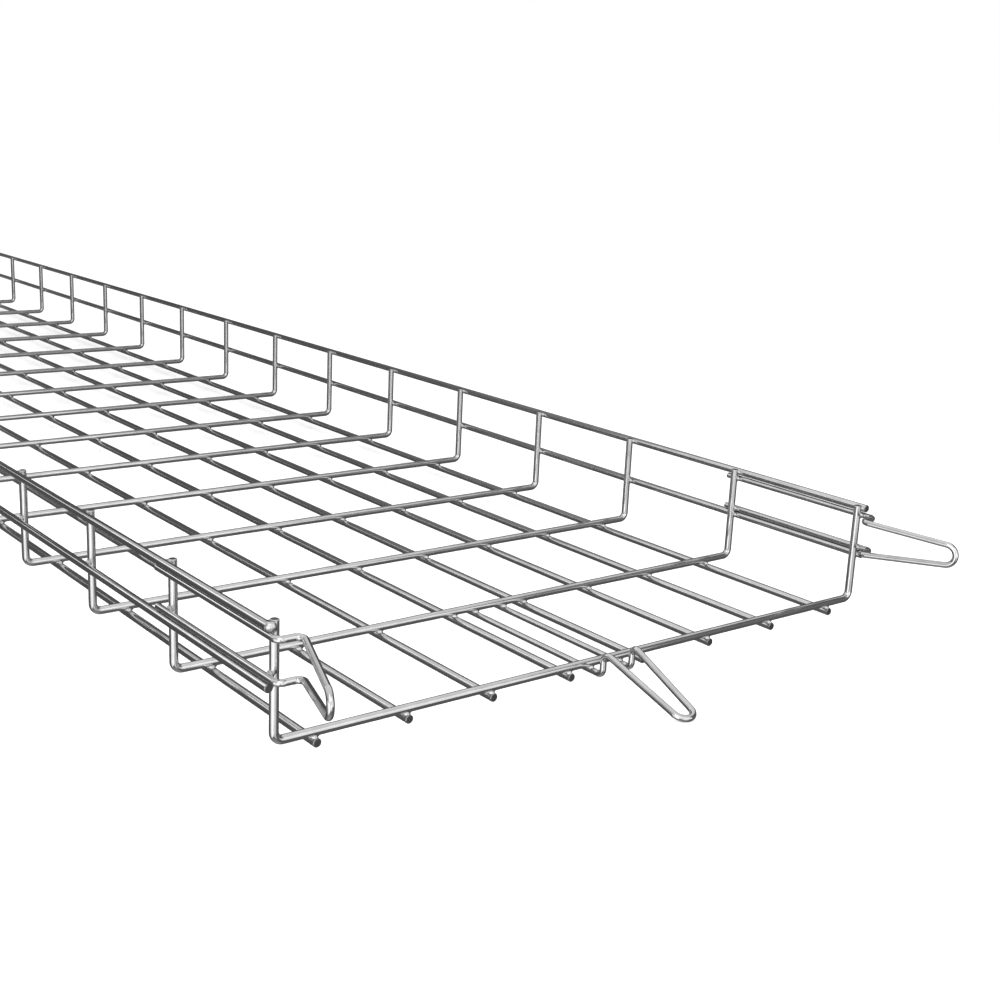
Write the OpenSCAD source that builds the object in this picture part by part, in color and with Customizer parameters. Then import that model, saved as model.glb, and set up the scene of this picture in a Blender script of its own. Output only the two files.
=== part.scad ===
// Wire mesh cable basket: a straight length of trough-shaped welded wire tray.
// U-shaped cross wires carry straight base wires under the floor and side wires
// outside the walls. Three hairpin couplers at one end hook the next length on.

/* [Tray] */
// Length of the mesh from its first to its last cross wire
mesh_length = 3000; // [1000:100:4400]
// Clear width between the two legs of a cross wire
inner_width = 388.6; // [188.6:0.2:588.6]
// Clear height from the floor stretch of a cross wire to the tops of its legs
inner_height = 55.5; // [50:0.5:110]

/* [Wire] */
// Diameter of the cross wires, base wires and side wires
wire_d = 4.5; // [3.9:0.1:6]
// Diameter of the coupler wire
coupler_d = 3.5; // [3:0.1:4.5]
// Chamfer round each sheared wire end
end_chamfer = 0.4; // [0.1:0.1:1]

/* [Mesh] */
// Distance from one cross wire to the next
cross_pitch = 100; // [75:5:200]
// Distance from one base wire to the next
base_pitch = 50.3; // [40:0.1:100]
// Distance from the top side wire down to the lower side wire
side_pitch = 28.5; // [26:0.5:34]
// Centre-line radius of a cross wire's two bends
bend_radius = 4.5; // [4:0.5:12]
// Height that a leg reaches above the middle of the top side wire
leg_reach = 2; // [0.5:0.1:6]
// Length that the base and side wires run on past the end cross wires
wire_overhang = 3.5; // [0.5:0.5:20]

/* [Couplers] */
// Gap between a coupler leg and the side wire that it lies along
coupler_fit = 0.25; // [0.1:0.05:1]
// Length that the coupler legs run back past the second cross wire
coupler_tail = 9; // [4:1:30]
// Distance from the end cross wire to the coupler's jog
jog_reach = 10; // [8:0.5:20]
// Depth that the jog passes through the wall or floor
jog_depth = 8.8; // [8:0.1:14]
// Centre-line radius of the jog's bends
jog_radius = 3.5; // [3:0.5:5]
// Length of the flare from the jog to its tip
flare_length = 57; // [40:1:80]
// Angle by which the flare leans outwards
flare_angle = 19.5; // [5:0.5:30]
// Centre-line radius of the rounded tip
tip_radius = 6; // [4:0.5:9]

/* [Hidden] */
wire_r = wire_d / 2;
coupler_r = coupler_d / 2;

// A bend bulges a hair over the straight wire, whose end runs a little way into it.
bend_swell = 0.02;
bend_lap = 0.2;

// Cross wires: the floor stretch lies along Y at height 0 while the wires are laid out.
leg_y = inner_width / 2 + wire_r;
leg_top = inner_height + wire_r;
cross_count = floor(mesh_length / cross_pitch) + 1;

// Base wires lie tangent under the cross wires, clear of the bends.
base_z = -wire_d;
base_gaps = floor(2 * (leg_y - bend_radius - wire_r) / base_pitch);
base_count = base_gaps + 1;

// Side wires lie tangent outside the legs.
side_y = leg_y + wire_d;
side_top_z = leg_top - leg_reach;
side_low_z = side_top_z - side_pitch;

// A coupler's legs fit between the two side wires and touch the cross wires from outside.
hairpin_half = side_pitch / 2 - wire_r - coupler_r - coupler_fit;
hairpin_z = (side_top_z + side_low_z) / 2;
hairpin_off = wire_r + coupler_r;

// The flare's legs close on the tip, so their lines would meet at the apex.
tip_centre = flare_length - tip_radius;
tip_lean = atan(hairpin_half / tip_centre) - asin(tip_radius / norm([tip_centre, hairpin_half]));
apex = hairpin_half / tan(tip_lean);

// The whole part: its middle over the origin, its lowest point on the floor.
tip_r = coupler_r + bend_swell;
flare_reach = jog_reach + flare_length * cos(flare_angle) + tip_r;
flare_drop = flare_length * sin(flare_angle) - jog_depth + tip_r;
x_high = max(flare_reach, wire_overhang);
x_low = -mesh_length - wire_overhang;
shift_x = -(x_high + x_low) / 2;
shift_z = max(flare_drop, wire_d + wire_r);

SIDES = ["left", "right"];
LEVELS = ["top", "low"];

function two_digits(i) = str(i < 10 ? "0" : "", i);
function cross_name(i) = str("cross_wire_", two_digits(i));
function base_name(i) = str("base_wire_", i);
function side_name(side, level) = str("side_wire_", side, "_", level);
function coupler_name(place) = str("coupler_", place);

$fn = 32;

function unit(v) = v / norm(v);
function bend_turn(a, b, c) = acos(unit(b - a) * unit(c - b));
function bend_setback(a, b, c, r) = r * tan(bend_turn(a, b, c) / 2);

// A straight round rod from point a to point b, with a chamfer of its own at each end.
module rod(a, b, d, chamfer_a = 0, chamfer_b = 0) {
    run = b - a;
    length = norm(run);
    r = d / 2;
    translate(a)
        rotate([0, acos(run.z / length), atan2(run.y, run.x)])
            rotate_extrude()
                polygon([
                    [0, 0],
                    [r - chamfer_a, 0],
                    [r, chamfer_a],
                    [r, length - chamfer_b],
                    [r - chamfer_b, length],
                    [0, length]
                ]);
}

// The round bend that turns a wire at corner b on its way from a to c.
module bend(a, b, c, r, d) {
    way_in = unit(b - a);
    way_out = unit(c - b);
    inward = unit(way_out - (way_out * way_in) * way_in);
    start = b - bend_setback(a, b, c, r) * way_in;
    centre = start + r * inward;
    axis = cross(-inward, way_in);
    multmatrix([
        [-inward.x, way_in.x, axis.x, centre.x],
        [-inward.y, way_in.y, axis.y, centre.y],
        [-inward.z, way_in.z, axis.z, centre.z],
        [0, 0, 0, 1]
    ])
        rotate_extrude(angle = bend_turn(a, b, c))
            translate([r, 0])
                circle(d = d + 2 * bend_swell);
}

// A wire along a list of corner points, with a bend of its own radius at each inner corner.
module formed_wire(points, radii, d) {
    last = len(points) - 1;
    trims = [
        for (i = [0 : last])
            (i == 0 || i == last)
                ? 0
                : bend_setback(points[i - 1], points[i], points[i + 1], radii[i - 1]) - bend_lap
    ];
    for (i = [0 : last - 1]) {
        way = unit(points[i + 1] - points[i]);
        rod(
            points[i] + trims[i] * way,
            points[i + 1] - trims[i + 1] * way,
            d,
            i == 0 ? end_chamfer : 0,
            i == last - 1 ? end_chamfer : 0
        );
    }
    for (i = [1 : 1 : last - 1])
        bend(points[i - 1], points[i], points[i + 1], radii[i - 1], d);
}

// A straight wire along the tray at the given place across it.
module long_wire(y, z) {
    formed_wire([[x_low, y, z], [wire_overhang, y, z]], [], wire_d);
}

module cross_wire(i) {
    x = -(i - 1) * cross_pitch;
    color("gainsboro")
        formed_wire(
            [[x, -leg_y, leg_top], [x, -leg_y, 0], [x, leg_y, 0], [x, leg_y, leg_top]],
            [bend_radius, bend_radius],
            wire_d
        );
}

module base_wire(i) {
    color("silver") long_wire((i - 1 - base_gaps / 2) * base_pitch, base_z);
}

module side_wire(side, level) {
    color("silver")
        long_wire(
            side == "left" ? -side_y : side_y,
            level == "top" ? side_top_z : side_low_z
        );
}

// A hairpin coupler as it lies under the floor: legs along X, the jog rising along +Z.
module hairpin() {
    tail_x = -cross_pitch - coupler_tail;
    apex_x = jog_reach + apex * cos(flare_angle);
    apex_z = jog_depth - apex * sin(flare_angle);
    formed_wire(
        [
            [tail_x, hairpin_half, -hairpin_off],
            [jog_reach, hairpin_half, -hairpin_off],
            [jog_reach, hairpin_half, jog_depth],
            [apex_x, 0, apex_z],
            [jog_reach, -hairpin_half, jog_depth],
            [jog_reach, -hairpin_half, -hairpin_off],
            [tail_x, -hairpin_half, -hairpin_off]
        ],
        [jog_radius, jog_radius, tip_radius, jog_radius, jog_radius],
        coupler_d
    );
}

module coupler(place) {
    color("lightgray")
        if (place == "floor")
            hairpin();
        else if (place == "left")
            translate([0, -leg_y, hairpin_z]) rotate([-90, 0, 0]) hairpin();
        else
            translate([0, leg_y, hairpin_z]) rotate([90, 0, 0]) hairpin();
}

// Moves a piece from the layout, at the end cross wire, to the part's own origin.
module placed() {
    translate([shift_x, 0, shift_z]) children();
}

for (i = [1 : cross_count])
    placed() cross_wire(i);
for (i = [1 : base_count])
    placed() base_wire(i);
for (side = SIDES, level = LEVELS)
    placed() side_wire(side, level);
for (place = concat(SIDES, ["floor"]))
    placed() coupler(place);
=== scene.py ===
"""Welded wire mesh cable basket: zinc finish on the wires, weld beads, and a studio."""

import math

import bmesh
import bpy
from bpy.props import FloatProperty, FloatVectorProperty, IntProperty, PointerProperty
from mathutils import Euler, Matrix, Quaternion, Vector


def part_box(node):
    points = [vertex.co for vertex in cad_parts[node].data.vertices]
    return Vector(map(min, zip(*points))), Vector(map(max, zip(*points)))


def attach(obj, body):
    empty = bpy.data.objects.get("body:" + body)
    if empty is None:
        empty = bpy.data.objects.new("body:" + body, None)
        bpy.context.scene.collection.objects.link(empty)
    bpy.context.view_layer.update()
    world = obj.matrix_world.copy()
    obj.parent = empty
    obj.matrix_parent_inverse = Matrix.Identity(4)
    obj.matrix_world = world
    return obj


bl_info = {
    "name": "Wire Mesh Cable Basket",
    "version": (1, 0, 0),
    "blender": (4, 5, 0),
    "location": "3D View > Sidebar > Cable Basket",
    "description": "Finishes a welded wire mesh cable basket and lights it",
    "category": "Object",
}

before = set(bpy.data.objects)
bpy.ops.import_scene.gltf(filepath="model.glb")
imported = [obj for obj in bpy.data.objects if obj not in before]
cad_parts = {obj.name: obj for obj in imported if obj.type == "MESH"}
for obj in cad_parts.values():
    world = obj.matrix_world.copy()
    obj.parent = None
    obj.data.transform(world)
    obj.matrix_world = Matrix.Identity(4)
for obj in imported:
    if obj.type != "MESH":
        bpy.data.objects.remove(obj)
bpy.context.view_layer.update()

MM = 0.001

CROSS_WIRES = sorted(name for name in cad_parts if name.startswith("cross_wire"))
BASE_WIRES = sorted(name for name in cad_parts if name.startswith("base_wire"))
SIDE_WIRES = sorted(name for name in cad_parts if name.startswith("side_wire"))
COUPLERS = sorted(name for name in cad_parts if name.startswith("coupler"))

# The first cross wire is the one at the couplers, and it is the end that the stage is set
# round. Left is -Y and right is +Y, as seen from the couplers.
END_WIRE = CROSS_WIRES[0]

# Radius of the wire that the couplers are bent from.
COUPLER_RADIUS = 1.75 * MM

# A level along any axis that every point of the basket is past.
ANYWHERE = -10.0

# How light the room is as the metal sees it, by angle above the floor's plane.
ROOM = (
    (-90, 0.55),
    (-60, 0.36),
    (-40, 0.14),
    (-25, 0.13),
    (-10, 0.2),
    (0, 0.15),
    (10, 0.3),
    (30, 0.36),
    (60, 0.34),
    (90, 0.38),
)

# Round cards that the metal sees in the room, the later ones in front. Each has its
# heading from +X, height, radius and softness of edge in degrees, then its grey.
CARDS = {
    "low_right": (99, -34, 42, 16, 0.15),
    "far_end": (171, 4, 50, 5, 0.4),
    "low_near_end": (-4, -16, 22, 7, 0.85),
    "far_end_shade": (-177, -3, 43, 14, 0.1),
    "far_end_core": (175, -3, 21, 5, 0.45),
    "right": (78, 20, 30, 14, 0.13),
    "far_right_shade": (138, -8, 34, 8, 0.08),
    "high_left_shade": (-101, 29, 20, 7, 0.08),
}

# Softboxes round the near end, and a strip light above the left side. Each has its place
# from the end wire and the floor in metres, its turn about Z and its tip in degrees, its
# width and height in metres, and its brightness, where 1 is white.
SOFTBOXES = {
    "overhead_light": ((0.0, -0.72, 0.45), 52, -7, (1.95, 1.76), 0.56),
    "rear_light": ((1.04, -1.33, 0.7), 52, -18, (0.53, 1.06), 1.1),
    "right_light": ((0.77, 0.16, 0.31), 119, 90, (0.84, 0.84), 0.88),
    "front_light": ((0.94, -0.45, 0.42), 6, 90, (1.53, 1.51), 0.76),
    "left_light": ((0.25, -0.7, -0.2), 0, 90, (0.7, 0.7), 1.15),
    "strip_light": ((-0.68, -0.42, 0.28), 0, 0, (0.65, 0.1), 1.3),
}


def box_middle(node):
    """The middle of a wire's box."""
    low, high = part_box(node)
    return (low + high) / 2


def half_size(node, axis):
    """Half of a wire's box along one axis, which across a straight wire is its radius."""
    low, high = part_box(node)
    return (high[axis] - low[axis]) / 2


def wall_turn(y):
    """The turn about X that stands a bead of the floor up on the left or right wall."""
    return -math.pi / 2 if y < 0 else math.pi / 2


# ---------------------------------------------------------------- settings


def colour_setting(name, description, default):
    return FloatVectorProperty(
        name=name,
        description=description,
        subtype="COLOR",
        size=3,
        min=0,
        max=1,
        default=default,
    )


def length_setting(name, description, default):
    return FloatProperty(
        name=name, description=description, unit="LENGTH", min=0, default=default
    )


def share_setting(name, description, default, highest=1.0):
    return FloatProperty(
        name=name,
        description=description,
        subtype="FACTOR",
        min=0,
        max=highest,
        default=default,
    )


def angle_setting(name, description, degrees):
    return FloatProperty(
        name=name, description=description, subtype="ANGLE", default=math.radians(degrees)
    )


class ZincFinish(bpy.types.PropertyGroup):
    """Colours and texture of the zinc coat, and the painted shade on the side of a wire that
    faces down.
    """

    # The clean zinc's own colour. The underside colour below is painted shade laid over it where
    # a wire faces down.
    bright: colour_setting(
        "Bright zinc", "Clean zinc on the upper side of a wire", (0.70, 0.70, 0.705)
    )
    dull: colour_setting("Dull zinc", "Oxidised patches in the zinc", (0.60, 0.60, 0.61))
    # Painted shade, not a film on the zinc: the colour that the side of a wire facing down is
    # darkened to.
    painted_underside_shade: colour_setting(
        "Underside Shade", "Darker film on the side of a wire that faces down", (0.52, 0.52, 0.525)
    )
    sheared: colour_setting("Sheared steel", "Bare steel on the cut ends", (0.22, 0.22, 0.222))
    weld: colour_setting("Weld", "Zinc over the weld beads", (0.62, 0.62, 0.62))
    roughness: share_setting("Roughness", "How matt the clean zinc is", 0.08)
    wear: share_setting("Wear", "How much more matt the dull patches and undersides are", 0.05)
    sheared_roughness: share_setting("Sheared roughness", "How much more matt a cut end is", 0.2)
    weld_roughness: share_setting("Weld roughness", "How much more matt a weld is", 0.14)
    patch_size: length_setting("Patch size", "Size of the dull patches on a wire", 12 * MM)
    weld_patch_size: length_setting(
        "Weld patch size", "Size of the dull patches on the welds", 20 * MM
    )
    grain: share_setting("Grain", "Strength of the fine grain on a wire", 0.03)
    weld_grain: share_setting("Weld grain", "Strength of the fine grain on a weld", 0.04)


class WeldBeads(bpy.types.PropertyGroup):
    """Sizes of the beads that the welds squeeze out between two wires."""

    reach: length_setting("Reach", "How far a bead's foot runs along its own wire", 3.3 * MM)
    spread: length_setting("Spread", "How far a bead's foot runs up round the wire", 1.7 * MM)
    waist: length_setting("Waist", "Radius of a bead half way between the wires", 2.15 * MM)
    bite: length_setting("Bite", "How deep a bead's rims lie in its wires", 0.08 * MM)
    variation: share_setting("Variation", "Difference in size from bead to bead", 0.1, 0.3)
    unevenness: length_setting("Unevenness", "Height of the lumps on a bead", 0.1 * MM)
    seed: IntProperty(name="Seed", description="Picks the variation of the beads", default=7)
    headroom: length_setting(
        "Headroom", "How far the beads on the walls stay below the tops of the legs", 0.5 * MM
    )
    end_swell: length_setting(
        "End swell", "How far the end bead stands out round its wire", 0.5 * MM
    )
    end_overlap: share_setting(
        "End overlap", "How far the end bead lies back on its wire, in wire radii", 0.4
    )
    end_flat: share_setting(
        "End flat", "Where the end bead's back is cut flat, in wire radii from its middle", 0.7
    )
    end_lean: share_setting("End lean", "How far the end bead leans in towards the leg", 0.3)


class StudioSettings(bpy.types.PropertyGroup):
    """Camera, floor and light."""

    lens: FloatProperty(
        name="Lens",
        description="Focal length on a 36 mm sensor",
        unit="CAMERA",
        default=52.81,
    )
    camera_offset: FloatVectorProperty(
        name="Camera offset",
        description="From the middle of the end wire's floor stretch to the camera",
        subtype="TRANSLATION",
        unit="LENGTH",
        size=3,
        default=(0.52981, -0.49498, 0.27553),
    )
    camera_heading: angle_setting(
        "Camera heading", "Direction that the camera looks in, from +X", 141.592
    )
    camera_dip: angle_setting("Camera dip", "Angle that the camera looks down by", 14.906)
    camera_roll: angle_setting("Camera roll", "Turn of the camera about its own view", 2.702)
    floor_colour: colour_setting("Floor", "Colour of the floor", (0.8, 0.8, 0.8))
    floor_lift: share_setting(
        "Floor lift", "White added to the floor where it shows as the background", 0.4
    )
    softbox: FloatProperty(
        name="Softboxes",
        description="Brightness of the soft lights",
        min=0,
        default=1.0,
    )
    fill: FloatProperty(
        name="Fill",
        description="Strength of the even light from all round",
        min=0,
        default=0.9,
    )


# ---------------------------------------------------------------- node helpers


def add_node(tree, kind, inputs=None, **settings):
    """Adds a node; inputs are values or sockets to link, by name or index."""
    node = tree.nodes.new(kind)
    for name, value in settings.items():
        setattr(node, name, value)
    for key, value in (inputs or {}).items():
        if isinstance(value, bpy.types.NodeSocket):
            tree.links.new(value, node.inputs[key])
        else:
            node.inputs[key].default_value = value
    return node


def math_node(tree, operation, *values, clamp=False):
    """The result of a sum on numbers or number sockets."""
    node = add_node(
        tree, "ShaderNodeMath", dict(enumerate(values)), operation=operation, use_clamp=clamp
    )
    return node.outputs[0]


def vector_node(tree, operation, inputs, result="Vector"):
    """The result of a sum on vectors or vector sockets."""
    node = add_node(tree, "ShaderNodeVectorMath", inputs, operation=operation)
    return node.outputs[result]


def ramp_between(tree, value, low, high):
    """0 at low and 1 at high, with an easy slope between."""
    node = add_node(
        tree,
        "ShaderNodeMapRange",
        {"Value": value, "From Min": low, "From Max": high},
        interpolation_type="SMOOTHSTEP",
    )
    return node.outputs["Result"]


def mix_colour(tree, factor, a, b):
    """Colour a where the factor is 0 and colour b where it is 1."""
    # A Mix node has sockets for every kind of data: these are the factor and the colours.
    inputs = {0: factor, 6: a, 7: b}
    return add_node(tree, "ShaderNodeMix", inputs, data_type="RGBA").outputs[2]


def new_group(name, inputs, outputs):
    """A shader node group with its named inputs and outputs."""
    group = bpy.data.node_groups.new(name, "ShaderNodeTree")
    for label, kind, default in inputs:
        socket = group.interface.new_socket(label, in_out="INPUT", socket_type=kind)
        socket.default_value = default
    for label, kind in outputs:
        group.interface.new_socket(label, in_out="OUTPUT", socket_type=kind)
    return group, group.nodes.new("NodeGroupInput"), group.nodes.new("NodeGroupOutput")


def empty_material(name):
    """A material with an empty node tree, and the tree."""
    material = bpy.data.materials.new(name)
    material.use_nodes = True
    material.node_tree.nodes.clear()
    return material, material.node_tree


def opaque(colour):
    return (*colour, 1.0)


def grey(level):
    return (level, level, level, 1.0)


WHITE = grey(1.0)


# ---------------------------------------------------------------- finishes


def zinc_coat_group():
    """Mottled zinc, with painted shade that darkens it where the wire faces down."""
    name = "Zinc Coat"
    if name in bpy.data.node_groups:
        return bpy.data.node_groups[name]
    group, given, result = new_group(
        name,
        [
            ("Bright", "NodeSocketColor", grey(0.7)),
            ("Dull", "NodeSocketColor", grey(0.6)),
            # Painted shade for the side of a wire that faces down.
            ("Underside Shade", "NodeSocketColor", grey(0.52)),
            ("Roughness", "NodeSocketFloat", 0.08),
            ("Wear", "NodeSocketFloat", 0.05),
            ("Patch Size", "NodeSocketFloat", 12 * MM),
            ("Stretch", "NodeSocketVector", (1, 1, 1)),
        ],
        [
            ("Color", "NodeSocketColor"),
            ("Roughness", "NodeSocketFloat"),
            ("Height", "NodeSocketFloat"),
        ],
    )
    place = add_node(group, "ShaderNodeTexCoord")

    # Dull patches, broken up by the small crystals of the zinc.
    per_patch = math_node(group, "DIVIDE", 1.0, given.outputs["Patch Size"])
    patches = add_node(
        group,
        "ShaderNodeTexNoise",
        {"Vector": place.outputs["Object"], "Scale": per_patch, "Detail": 3.0},
    ).outputs["Fac"]
    crystals = add_node(
        group,
        "ShaderNodeTexVoronoi",
        {
            "Vector": place.outputs["Object"],
            "Scale": math_node(group, "MULTIPLY", per_patch, 5.0),
        },
    ).outputs["Color"]
    crystal = add_node(group, "ShaderNodeSeparateColor", {0: crystals}).outputs[0]
    mottle = math_node(
        group,
        "ADD",
        math_node(group, "MULTIPLY", ramp_between(group, patches, 0.35, 0.7), 0.75),
        math_node(group, "MULTIPLY", crystal, 0.25),
    )
    coat = mix_colour(group, mottle, given.outputs["Bright"], given.outputs["Dull"])

    # Painted shade: the colour is darker where the surface faces down.
    facing = add_node(group, "ShaderNodeSeparateXYZ", {0: place.outputs["Normal"]}).outputs["Z"]
    below = ramp_between(group, facing, 0.15, -0.45)
    coat = mix_colour(group, below, coat, given.outputs["Underside Shade"])

    wear = given.outputs["Wear"]
    worn = math_node(group, "MULTIPLY_ADD", mottle, wear, given.outputs["Roughness"])
    worn = math_node(group, "MULTIPLY_ADD", below, wear, worn, clamp=True)

    # Fine grain, drawn out along the wire.
    drawn = vector_node(
        group, "MULTIPLY", {0: place.outputs["Object"], 1: given.outputs["Stretch"]}
    )
    grain = add_node(
        group,
        "ShaderNodeTexNoise",
        {"Vector": drawn, "Scale": 1400.0, "Detail": 2.0},
    ).outputs["Fac"]

    group.links.new(coat, result.inputs["Color"])
    group.links.new(worn, result.inputs["Roughness"])
    group.links.new(grain, result.inputs["Height"])
    return group


def sheared_end_group():
    """1 on a wire's cut face: it looks along the axis, and lies past the level."""
    name = "Sheared End"
    if name in bpy.data.node_groups:
        return bpy.data.node_groups[name]
    group, given, result = new_group(
        name,
        [
            ("Axis", "NodeSocketVector", (1, 0, 0)),
            ("Level", "NodeSocketFloat", ANYWHERE),
            ("Squareness", "NodeSocketFloat", 0.9),
        ],
        [("Mask", "NodeSocketFloat")],
    )
    place = add_node(group, "ShaderNodeTexCoord")
    along, facing = (
        vector_node(
            group,
            "DOT_PRODUCT",
            {0: place.outputs[which], 1: given.outputs["Axis"]},
            "Value",
        )
        for which in ("Object", "Normal")
    )
    turned = math_node(group, "ABSOLUTE", facing)
    flat = math_node(group, "GREATER_THAN", turned, given.outputs["Squareness"])
    past = math_node(group, "GREATER_THAN", along, given.outputs["Level"])
    group.links.new(math_node(group, "MULTIPLY", flat, past), result.inputs["Mask"])
    return group


def coat_node(tree, bright, extra_roughness, patch_size, stretch=(1, 1, 1)):
    """Places the zinc coat in a material."""
    finish = bpy.context.scene.basket_zinc
    return add_node(
        tree,
        "ShaderNodeGroup",
        {
            "Bright": opaque(bright),
            "Dull": opaque(finish.dull),
            # The painted shade for the side of the wire that faces down.
            "Underside Shade": opaque(finish.painted_underside_shade),
            "Roughness": finish.roughness + extra_roughness,
            "Wear": finish.wear,
            "Patch Size": patch_size,
            "Stretch": stretch,
        },
        node_tree=zinc_coat_group(),
    )


def metal_surface(tree, colour, roughness, height, grain, depth):
    """Metal with a grain of the given strength and depth, joined to the output."""
    bump = add_node(
        tree, "ShaderNodeBump", {"Height": height, "Strength": grain, "Distance": depth}
    )
    surface = add_node(
        tree,
        "ShaderNodeBsdfPrincipled",
        {
            "Base Color": colour,
            "Roughness": roughness,
            "Metallic": 1.0,
            "Normal": bump.outputs["Normal"],
        },
    )
    add_node(tree, "ShaderNodeOutputMaterial", {"Surface": surface.outputs[0]})


def zinc_material(name, end_axis, end_level, squareness, stretch):
    """Zinc-plated wire with bare sheared ends. A cut face looks along end_axis, as square
    as squareness, and lies past end_level. A stretch under 1 draws the grain out."""
    finish = bpy.context.scene.basket_zinc
    material, tree = empty_material(name)
    coat = coat_node(tree, finish.bright, 0.0, finish.patch_size, stretch)
    mask = add_node(
        tree,
        "ShaderNodeGroup",
        {"Axis": end_axis, "Level": end_level, "Squareness": squareness},
        node_tree=sheared_end_group(),
    ).outputs["Mask"]
    colour = mix_colour(tree, mask, coat.outputs["Color"], opaque(finish.sheared))
    rough = math_node(
        tree,
        "MULTIPLY_ADD",
        mask,
        finish.sheared_roughness,
        coat.outputs["Roughness"],
        clamp=True,
    )
    metal_surface(
        tree, colour, rough, coat.outputs["Height"], finish.grain, depth=0.05 * MM
    )
    return material


def weld_material():
    """Zinc-plated weld metal, a little more matt than the wire. It is made once."""
    name = "weld_zinc"
    if name in bpy.data.materials:
        return bpy.data.materials[name]
    finish = bpy.context.scene.basket_zinc
    material, tree = empty_material(name)
    coat = coat_node(tree, finish.weld, finish.weld_roughness, finish.weld_patch_size)
    metal_surface(
        tree,
        coat.outputs["Color"],
        coat.outputs["Roughness"],
        coat.outputs["Height"],
        finish.weld_grain,
        depth=0.2 * MM,
    )
    return material


def dress(names, material):
    """Gives the wires their finish."""
    for name in names:
        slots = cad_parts[name].material_slots
        if not slots:
            raise RuntimeError(f"{name} has no material slot")
        for slot in slots:
            slot.material = material


# ---------------------------------------------------------------- weld beads


def bead_mesh(name, long_radius, cross_radius, settings, furthest, segments=12):
    """One weld bead. The long wire lies under it along X, the cross wire over it along Y,
    and they touch at the origin. No point of the bead lies past furthest along Y."""

    def long_top(y):
        return math.sqrt(max(long_radius**2 - y * y, 0.0)) - long_radius

    def cross_bottom(x):
        return cross_radius - math.sqrt(max(cross_radius**2 - x * x, 0.0))

    def flared(foot, foot_size, crown, crown_size):
        waist = settings.waist
        return waist + foot * (foot_size - waist) + crown * (crown_size - waist)

    mesh = bmesh.new()
    rings = []
    for share in (0.0, 0.22, 0.5, 0.78, 1.0):
        foot = max(0.0, 1 - 2 * share) ** 2
        crown = max(0.0, 2 * share - 1) ** 2
        along_x = flared(foot, settings.reach, crown, settings.spread)
        along_y = flared(foot, settings.spread, crown, settings.reach)
        ring = []
        for i in range(segments):
            angle = 2 * math.pi * (i + 0.5) / segments
            x, y = along_x * math.cos(angle), along_y * math.sin(angle)
            y = max(-furthest, min(furthest, y))
            low = long_top(y) - settings.bite
            high = cross_bottom(x) + settings.bite
            ring.append(mesh.verts.new((x, y, low + share * (high - low))))
        rings.append(ring)
    bottom = mesh.verts.new((0, 0, -long_radius / 2))
    top = mesh.verts.new((0, 0, cross_radius / 2))
    for i in range(segments):
        j = (i + 1) % segments
        for lower, upper in zip(rings, rings[1:]):
            mesh.faces.new((lower[i], lower[j], upper[j], upper[i]))
        mesh.faces.new((bottom, rings[0][j], rings[0][i]))
        mesh.faces.new((top, rings[-1][i], rings[-1][j]))
    data = bpy.data.meshes.new(name)
    mesh.to_mesh(data)
    mesh.free()
    return data


def bead_tree(bead, material):
    """Puts a bead on every point, turned to its wires, with a little variation."""
    tree = bpy.data.node_groups.new("Weld Beads", "GeometryNodeTree")
    tree.is_modifier = True
    tree.interface.new_socket("Geometry", in_out="INPUT", socket_type="NodeSocketGeometry")
    for label, kind in (
        ("Variation", "NodeSocketFloat"),
        ("Unevenness", "NodeSocketFloat"),
        ("Seed", "NodeSocketInt"),
    ):
        tree.interface.new_socket(label, in_out="INPUT", socket_type=kind)
    tree.interface.new_socket("Geometry", in_out="OUTPUT", socket_type="NodeSocketGeometry")
    given = tree.nodes.new("NodeGroupInput")
    result = tree.nodes.new("NodeGroupOutput")

    # Each bead's size lies within the variation of the bead's own, on each axis by itself.
    even = (1, 1, 1)
    spread = vector_node(tree, "SCALE", {0: even, "Scale": given.outputs["Variation"]})
    size = add_node(
        tree,
        "FunctionNodeRandomValue",
        {
            0: vector_node(tree, "SUBTRACT", {0: even, 1: spread}),
            1: vector_node(tree, "ADD", {0: even, 1: spread}),
            "Seed": given.outputs["Seed"],
        },
        data_type="FLOAT_VECTOR",
    ).outputs[0]
    shape = add_node(tree, "GeometryNodeObjectInfo", {"Object": bead}).outputs["Geometry"]
    turn = add_node(
        tree,
        "GeometryNodeInputNamedAttribute",
        {"Name": "turn"},
        data_type="FLOAT_VECTOR",
    ).outputs["Attribute"]
    placed = add_node(
        tree,
        "GeometryNodeInstanceOnPoints",
        {
            "Points": given.outputs["Geometry"],
            "Instance": shape,
            "Rotation": turn,
            "Scale": size,
        },
    ).outputs[0]
    real = add_node(tree, "GeometryNodeRealizeInstances", {"Geometry": placed}).outputs[0]

    # Small lumps, in and out by half of the unevenness.
    lumps = add_node(tree, "ShaderNodeTexNoise", {"Scale": 450.0, "Detail": 1.0}).outputs["Color"]
    lumps = vector_node(tree, "SUBTRACT", {0: lumps, 1: (0.5, 0.5, 0.5)})
    push = vector_node(tree, "SCALE", {0: lumps, "Scale": given.outputs["Unevenness"]})
    rough = add_node(
        tree, "GeometryNodeSetPosition", {"Geometry": real, "Offset": push}
    ).outputs[0]
    smooth = add_node(
        tree, "GeometryNodeSetShadeSmooth", {0: rough, "Shade Smooth": True}
    ).outputs[0]
    finished = add_node(
        tree, "GeometryNodeSetMaterial", {"Geometry": smooth, "Material": material}
    ).outputs[0]
    tree.links.new(finished, result.inputs["Geometry"])
    return tree


def add_piece(name, mesh):
    """Makes a mesh a piece of the basket, which rides on its one body."""
    piece = bpy.data.objects.new(name, mesh)
    bpy.context.scene.collection.objects.link(piece)
    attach(piece, "root")


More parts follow.
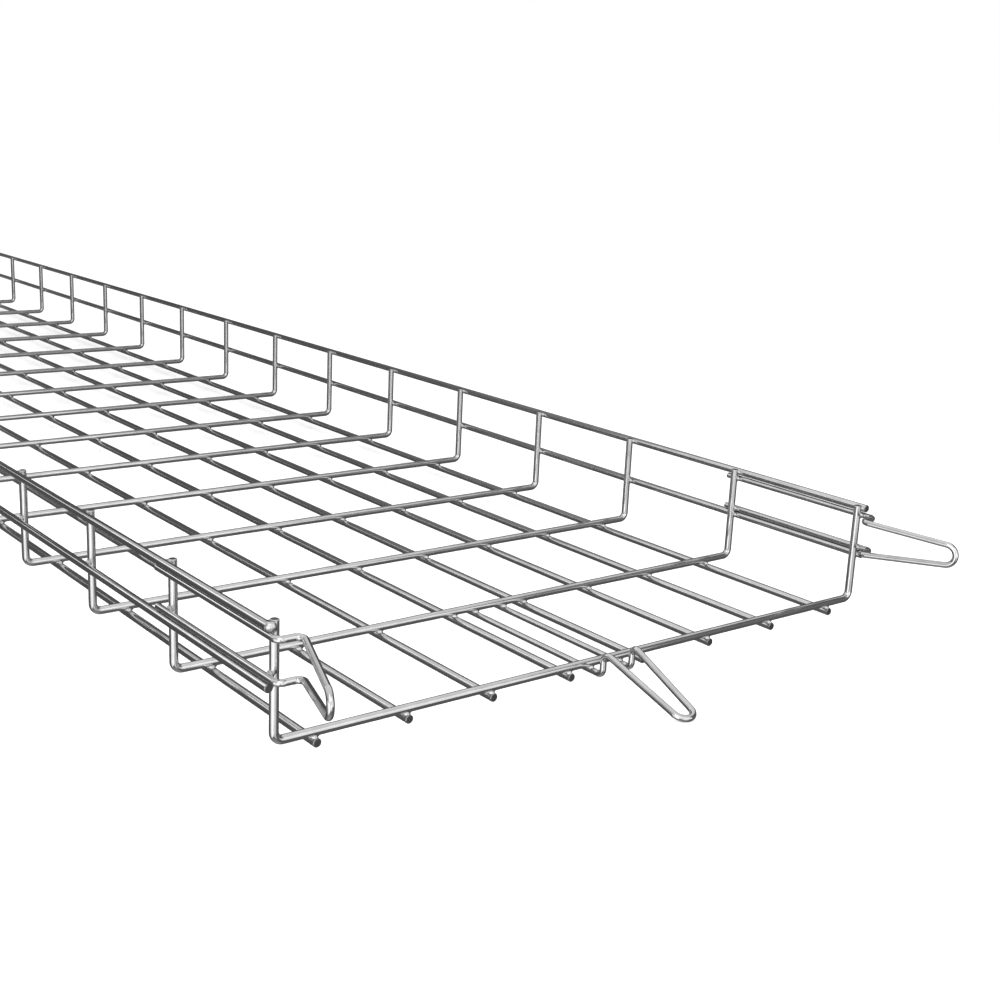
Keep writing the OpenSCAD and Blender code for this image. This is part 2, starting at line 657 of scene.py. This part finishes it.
def add_beads(name, places, long_radius, cross_radius, furthest=math.inf):
    """Builds one piece of weld beads. Each place is a point and its turn about X."""
    settings = bpy.context.scene.basket_welds
    points = bpy.data.meshes.new(name + "_points")
    points.from_pydata([tuple(point) for point, _ in places], [], [])
    turns = points.attributes.new("turn", "FLOAT_VECTOR", "POINT")
    for item, (_, turn) in zip(turns.data, places):
        item.vector = (turn, 0, 0)
    bead = bpy.data.objects.new(
        name + "_bead", bead_mesh(name + "_bead", long_radius, cross_radius, settings, furthest)
    )
    carrier = bpy.data.objects.new(name + "_carrier", points)
    for helper in (bead, carrier):
        bpy.context.scene.collection.objects.link(helper)
    modifier = carrier.modifiers.new("Weld Beads", "NODES")
    modifier.node_group = bead_tree(bead, weld_material())
    inputs = {
        item.name: item.identifier
        for item in modifier.node_group.interface.items_tree
        if item.in_out == "INPUT"
    }
    modifier[inputs["Variation"]] = settings.variation
    modifier[inputs["Unevenness"]] = settings.unevenness
    modifier[inputs["Seed"]] = settings.seed
    bpy.context.view_layer.update()
    graph = bpy.context.evaluated_depsgraph_get()
    mesh = bpy.data.meshes.new_from_object(carrier.evaluated_get(graph))
    if not mesh.polygons:
        raise RuntimeError(f"{name} came out empty")
    for helper in (carrier, bead):
        bpy.data.objects.remove(helper)
    mesh.name = name
    add_piece(name, mesh)


# ---------------------------------------------------------------- operators


class FinishCrossWires(bpy.types.Operator):
    """Give the U-shaped cross wires their zinc and bare leg tops"""

    bl_idname = "basket.finish_cross_wires"
    bl_label = "Finish cross wires"

    def execute(self, context):
        just_below_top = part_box(END_WIRE)[1].z - 0.2 * MM
        zinc = zinc_material(
            "cross_wire_zinc",
            end_axis=(0, 0, 1),
            end_level=just_below_top,
            squareness=0.93,
            stretch=(1, 1, 1),
        )
        dress(CROSS_WIRES, zinc)
        return {"FINISHED"}


class FinishLongWires(bpy.types.Operator):
    """Give the base wires and side wires their zinc and bare ends"""

    bl_idname = "basket.finish_long_wires"
    bl_label = "Finish base and side wires"

    def execute(self, context):
        zinc = zinc_material(
            "long_wire_zinc",
            end_axis=(1, 0, 0),
            end_level=ANYWHERE,
            squareness=0.6,
            stretch=(0.15, 1, 1),
        )
        dress(BASE_WIRES + SIDE_WIRES, zinc)
        return {"FINISHED"}


class FinishCouplers(bpy.types.Operator):
    """Give the hairpin couplers their zinc and bare tails"""

    bl_idname = "basket.finish_couplers"
    bl_label = "Finish couplers"

    def execute(self, context):
        just_before_tail = -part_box(COUPLERS[0])[0].x - 0.5 * MM
        zinc = zinc_material(
            "coupler_zinc",
            end_axis=(-1, 0, 0),
            end_level=just_before_tail,
            squareness=0.6,
            stretch=(0.4, 1, 1),
        )
        dress(COUPLERS, zinc)
        return {"FINISHED"}


class AddFloorWelds(bpy.types.Operator):
    """Add the weld beads where the base wires pass under the cross wires"""

    bl_idname = "basket.add_floor_welds"
    bl_label = "Add floor welds"

    def execute(self, context):
        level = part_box(BASE_WIRES[0])[1].z
        places = [
            (Vector((box_middle(cross).x, box_middle(base).y, level)), 0.0)
            for cross in CROSS_WIRES
            for base in BASE_WIRES
        ]
        base_radius = half_size(BASE_WIRES[0], 1)
        add_beads("floor_welds", places, base_radius, half_size(END_WIRE, 0))
        return {"FINISHED"}


class AddWallWelds(bpy.types.Operator):
    """Add the weld beads where the side wires pass outside the legs"""

    bl_idname = "basket.add_wall_welds"
    bl_label = "Add wall welds"

    def execute(self, context):
        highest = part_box(END_WIRE)[1].z - context.scene.basket_welds.headroom
        side_radius = half_size(SIDE_WIRES[0], 1)
        for row in ("top", "low"):
            wires = [name for name in SIDE_WIRES if name.endswith(row)]
            height = box_middle(wires[0]).z
            places = []
            for wire in wires:
                low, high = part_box(wire)
                touch = high.y if high.y < 0 else low.y
                places += [
                    (Vector((box_middle(cross).x, touch, height)), wall_turn(touch))
                    for cross in CROSS_WIRES
                ]
            add_beads(
                row + "_wall_welds",
                places,
                side_radius,
                half_size(END_WIRE, 0),
                furthest=highest - height,
            )
        return {"FINISHED"}


class AddEndBead(bpy.types.Operator):
    """Add the rounded weld smear on the end of the top side wire by the left coupler"""

    bl_idname = "basket.add_end_bead"
    bl_label = "Add end bead"

    def execute(self, context):
        settings = context.scene.basket_welds
        wire = "side_wire_left_top"
        radius = half_size(wire, 1)
        end = box_middle(wire)
        end.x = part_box(wire)[1].x
        place = end - Vector((settings.end_overlap * radius, 0, 0))
        bead = bmesh.new()
        bmesh.ops.create_uvsphere(
            bead, u_segments=20, v_segments=12, radius=radius + settings.end_swell
        )
        for corner in bead.verts:
            corner.co.x = max(corner.co.x, -settings.end_flat * radius)
            corner.co.y += settings.end_lean * (corner.co.x + radius)
            corner.co.z = min(corner.co.z, radius)
            corner.co += place
        for face in bead.faces:
            face.smooth = True
        mesh = bpy.data.meshes.new("end_bead")
        bead.to_mesh(mesh)
        bead.free()
        mesh.materials.append(weld_material())
        add_piece("end_bead", mesh)
        return {"FINISHED"}


class AddCouplerWelds(bpy.types.Operator):
    """Add the weld beads that hold the couplers' legs to the first two cross wires"""

    bl_idname = "basket.add_coupler_welds"
    bl_label = "Add coupler welds"

    def execute(self, context):
        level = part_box(BASE_WIRES[0])[1].z
        places = []
        for name in COUPLERS:
            middle = box_middle(name)
            for cross in CROSS_WIRES[:2]:
                x = box_middle(cross).x
                left_face, right_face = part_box(cross)
                for leg in (-1, 1):
                    if name == "coupler_floor":
                        y = leg * (half_size(name, 1) - COUPLER_RADIUS)
                        places.append((Vector((x, y, level)), 0.0))
                    else:
                        touch = left_face.y if middle.y < 0 else right_face.y
                        z = middle.z + leg * (half_size(name, 2) - COUPLER_RADIUS)
                        places.append((Vector((x, touch, z)), wall_turn(touch)))
        add_beads(
            "coupler_welds", places, COUPLER_RADIUS, half_size(END_WIRE, 0)
        )
        return {"FINISHED"}


class SetStage(bpy.types.Operator):
    """Build the pale floor, the soft lights and the camera"""

    bl_idname = "basket.set_stage"
    bl_label = "Set the stage"

    def execute(self, context):
        studio = context.scene.basket_studio
        self.make_floor(context, studio)
        self.make_world(context, studio)
        for name, softbox in SOFTBOXES.items():
            self.make_softbox(context, name, *softbox, studio.softbox)
        self.make_camera(context, studio)
        context.scene.view_settings.view_transform = "Standard"
        return {"FINISHED"}

    @staticmethod
    def seen_directly(tree):
        """1 for the rays that show the background: camera, glossy and transmission rays."""
        path = add_node(tree, "ShaderNodeLightPath")
        shown = math_node(
            tree, "MAXIMUM", path.outputs["Is Camera Ray"], path.outputs["Is Glossy Ray"]
        )
        return math_node(tree, "MAXIMUM", shown, path.outputs["Is Transmission Ray"])

    def make_floor(self, context, studio):
        """A matt pale floor that the camera sees a little whiter, and the metal not at all."""
        half = 30.0
        mesh = bpy.data.meshes.new("floor")
        mesh.from_pydata(
            [(-half, -half, 0), (half, -half, 0), (half, half, 0), (-half, half, 0)],
            [],
            [(0, 1, 2, 3)],
        )
        material, tree = empty_material("pale_floor")
        matt = add_node(
            tree, "ShaderNodeBsdfDiffuse", {"Color": opaque(studio.floor_colour)}
        )
        lift = math_node(tree, "MULTIPLY", self.seen_directly(tree), studio.floor_lift)
        glow = add_node(tree, "ShaderNodeEmission", {"Color": WHITE, "Strength": lift})
        both = add_node(tree, "ShaderNodeAddShader", {0: matt.outputs[0], 1: glow.outputs[0]})
        add_node(tree, "ShaderNodeOutputMaterial", {"Surface": both.outputs[0]})
        mesh.materials.append(material)
        floor = bpy.data.objects.new("floor", mesh)
        context.scene.collection.objects.link(floor)
        floor.visible_glossy = False

    @staticmethod
    def graded_room(tree):
        """What the metal sees all round: the graded room with the cards in it."""
        direction = add_node(tree, "ShaderNodeTexCoord").outputs["Generated"]
        rise = add_node(tree, "ShaderNodeSeparateXYZ", {0: direction}).outputs["Z"]
        elevation = math_node(tree, "ARCSINE", rise)
        ramp = add_node(
            tree,
            "ShaderNodeValToRGB",
            {0: math_node(tree, "MULTIPLY_ADD", elevation, 1 / math.pi, 0.5)},
        )
        stops = ramp.color_ramp.elements
        while len(stops) < len(ROOM):
            stops.new(0.5)
        for stop, (angle, level) in zip(stops, ROOM):
            stop.position = angle / 180 + 0.5
            stop.color = grey(level)
        seen = ramp.outputs["Color"]
        for heading, height, radius, softness, level in CARDS.values():
            turn = Euler((0, -math.radians(height), math.radians(heading)))
            middle = turn.to_matrix().col[0]
            nearness = vector_node(tree, "DOT_PRODUCT", {0: direction, 1: middle}, "Value")
            outer = math.cos(math.radians(radius + softness))
            inner = math.cos(math.radians(radius - softness))
            card = ramp_between(tree, nearness, outer, inner)
            seen = mix_colour(tree, card, seen, grey(level))
        return seen

    def make_world(self, context, studio):
        """White behind everything, an even fill for matt surfaces, and a room for metal."""
        world = bpy.data.worlds.new("studio")
        context.scene.world = world
        world.use_nodes = True
        tree = world.node_tree
        tree.nodes.clear()
        room, white, fill = (
            add_node(tree, "ShaderNodeBackground", {"Color": colour, "Strength": strength})
            for colour, strength in (
                (self.graded_room(tree), 1.0),
                (WHITE, 1.0),
                (WHITE, studio.fill),
            )
        )
        plain = add_node(
            tree,
            "ShaderNodeMixShader",
            {0: self.seen_directly(tree), 1: fill.outputs[0], 2: white.outputs[0]},
        )
        glossy = add_node(tree, "ShaderNodeLightPath").outputs["Is Glossy Ray"]
        full = add_node(
            tree, "ShaderNodeMixShader", {0: glossy, 1: plain.outputs[0], 2: room.outputs[0]}
        )
        add_node(tree, "ShaderNodeOutputWorld", {"Surface": full.outputs[0]})

    @staticmethod
    def make_softbox(context, name, offset, turn, tip, size, brightness, share):
        """A soft light that the camera doesn't see."""
        width, height = size
        lamp = bpy.data.lights.new(name, "AREA")
        lamp.shape = "RECTANGLE"
        lamp.size, lamp.size_y = width, height
        # A lamp of pi watts for each square metre shines as a white surface in full light.
        lamp.energy = math.pi * width * height * brightness * share
        holder = bpy.data.objects.new(name, lamp)
        context.scene.collection.objects.link(holder)
        holder.location = Vector((box_middle(END_WIRE).x, 0, 0)) + Vector(offset)
        holder.rotation_euler = (math.radians(tip), 0, math.radians(turn))
        holder.visible_camera = False

    @staticmethod
    def make_camera(context, studio):
        """A camera by the near end, which looks along the basket."""
        camera = bpy.data.objects.new("camera", bpy.data.cameras.new("camera"))
        context.scene.collection.objects.link(camera)
        camera.data.lens = studio.lens
        camera.data.sensor_width = 36.0
        camera.data.clip_start, camera.data.clip_end = 0.01, 200.0
        end = box_middle(END_WIRE)
        end.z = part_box(BASE_WIRES[0])[1].z + half_size(END_WIRE, 0)
        camera.location = end + Vector(studio.camera_offset)
        level = math.cos(studio.camera_dip)
        look = Vector(
            (
                math.cos(studio.camera_heading) * level,
                math.sin(studio.camera_heading) * level,
                -math.sin(studio.camera_dip),
            )
        )
        turn = look.to_track_quat("-Z", "Y") @ Quaternion((0, 0, 1), studio.camera_roll)
        camera.rotation_euler = turn.to_euler()
        context.scene.camera = camera


# ---------------------------------------------------------------- panel


STEPS = (
    FinishCrossWires,
    FinishLongWires,
    FinishCouplers,
    AddFloorWelds,
    AddWallWelds,
    AddEndBead,
    AddCouplerWelds,
    SetStage,
)


class BasketPanel(bpy.types.Panel):
    """Lists the steps and their settings"""

    bl_idname = "VIEW3D_PT_basket"
    bl_label = "Cable Basket"
    bl_space_type = "VIEW_3D"
    bl_region_type = "UI"
    bl_category = "Cable Basket"

    def draw(self, context):
        layout = self.layout
        for title, settings in (
            ("Zinc", context.scene.basket_zinc),
            ("Welds", context.scene.basket_welds),
            ("Studio", context.scene.basket_studio),
        ):
            box = layout.box()
            box.label(text=title)
            for key in settings.__annotations__:
                box.prop(settings, key)
        for step in STEPS:
            layout.operator(step.bl_idname)


CLASSES = (ZincFinish, WeldBeads, StudioSettings, *STEPS, BasketPanel)


def register():
    for item in CLASSES:
        bpy.utils.register_class(item)
    bpy.types.Scene.basket_zinc = PointerProperty(type=ZincFinish)
    bpy.types.Scene.basket_welds = PointerProperty(type=WeldBeads)
    bpy.types.Scene.basket_studio = PointerProperty(type=StudioSettings)


def unregister():
    del bpy.types.Scene.basket_studio
    del bpy.types.Scene.basket_welds
    del bpy.types.Scene.basket_zinc
    for item in reversed(CLASSES):
        bpy.utils.unregister_class(item)


def main():
    register()
    for step in STEPS:
        group, call = step.bl_idname.split(".")
        getattr(getattr(bpy.ops, group), call)()


if __name__ == "__main__":
    main()
